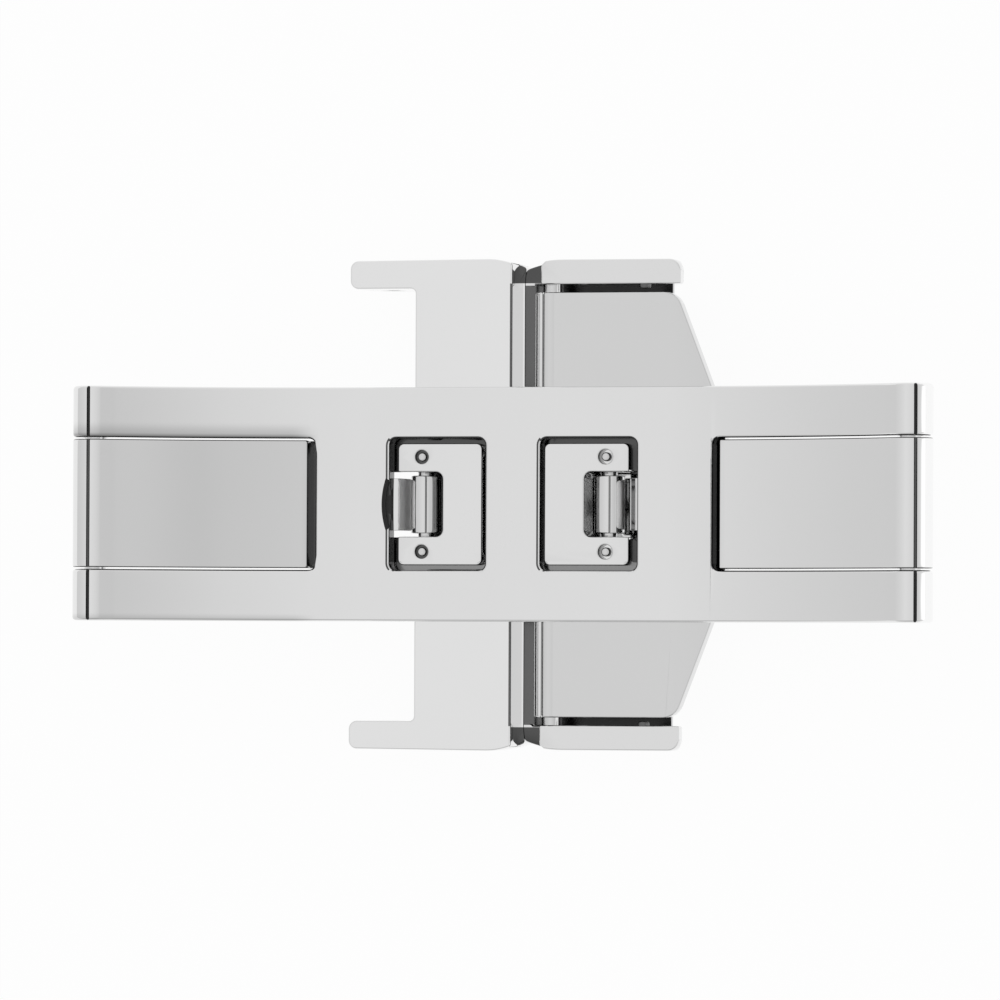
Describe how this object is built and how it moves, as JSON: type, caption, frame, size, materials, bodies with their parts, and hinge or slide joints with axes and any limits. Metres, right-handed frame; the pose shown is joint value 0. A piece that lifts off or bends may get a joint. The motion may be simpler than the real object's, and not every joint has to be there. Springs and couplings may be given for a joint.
{
  "type": "deployant clasp",
  "caption": "Polished steel butterfly clasp for a watch strap: two leaves fold under an arched forked plate and catch on its hooks; lugs on one half, strap clamp on the other.",
  "frame": {"origin": "centre of the closed clasp on its outer cover face", "axes": "+X along the strap towards the clamp half, +Y along the hinge pins, +Z towards the wrist"},
  "size_m": [0.037, 0.0208, 0.008],
  "materials": {
    "polished_steel": "mirror polished stainless steel",
    "pin_steel": "drawn and polished steel pin",
    "roller_steel": "turned and polished steel"
  },
  "bodies": {
    "base": {"base_plate": "polished_steel", "left_hinge_pin": "pin_steel", "right_hinge_pin": "pin_steel"},
    "left_wing": {"left_leaf": "polished_steel", "lug_cover": "polished_steel", "lug_rivet_1": "pin_steel", "lug_rivet_2": "pin_steel", "lug_rivet_3": "pin_steel", "lug_rivet_4": "pin_steel", "left_catch_pin": "pin_steel", "left_lock_pin_1": "pin_steel", "left_lock_pin_2": "pin_steel"},
    "right_wing": {"right_leaf": "polished_steel", "strap_peg": "pin_steel", "right_catch_pin": "pin_steel", "right_lock_pin_1": "pin_steel", "right_lock_pin_2": "pin_steel"},
    "clamp": {"clamp_cover": "polished_steel", "clamp_hinge_pin": "pin_steel"},
    "left_catch_roller": {"left_roller": "roller_steel"},
    "right_catch_roller": {"right_roller": "roller_steel"}
  },
  "joints": [
    {"name": "left_wing_hinge", "type": "hinge", "parent": "base", "child": "left_wing", "pos_m": [-0.01754, 0, 0.00704], "axis": [0, 1, 0], "range_deg": [0, 165]},
    {"name": "right_wing_hinge", "type": "hinge", "parent": "base", "child": "right_wing", "pos_m": [0.01754, 0, 0.00704], "axis": [0, -1, 0], "range_deg": [0, 165]},
    {"name": "clamp_hinge", "type": "hinge", "parent": "right_wing", "child": "clamp", "pos_m": [0.0013, 0, 0.00265], "axis": [0, 1, 0], "range_deg": [0, 82.5]},
    {"name": "left_roller_spin", "type": "hinge", "parent": "left_wing", "child": "left_catch_roller", "pos_m": [-0.00398, 0, 0.00355], "axis": [0, 1, 0], "continuous": true},
    {"name": "right_roller_spin", "type": "hinge", "parent": "right_wing", "child": "right_catch_roller", "pos_m": [0.00398, 0, 0.00355], "axis": [0, 1, 0], "continuous": true}
  ],
  "couplings": [
    {"joint": "clamp_hinge", "follows": "right_wing_hinge", "ratio": 0.5}
  ]
}
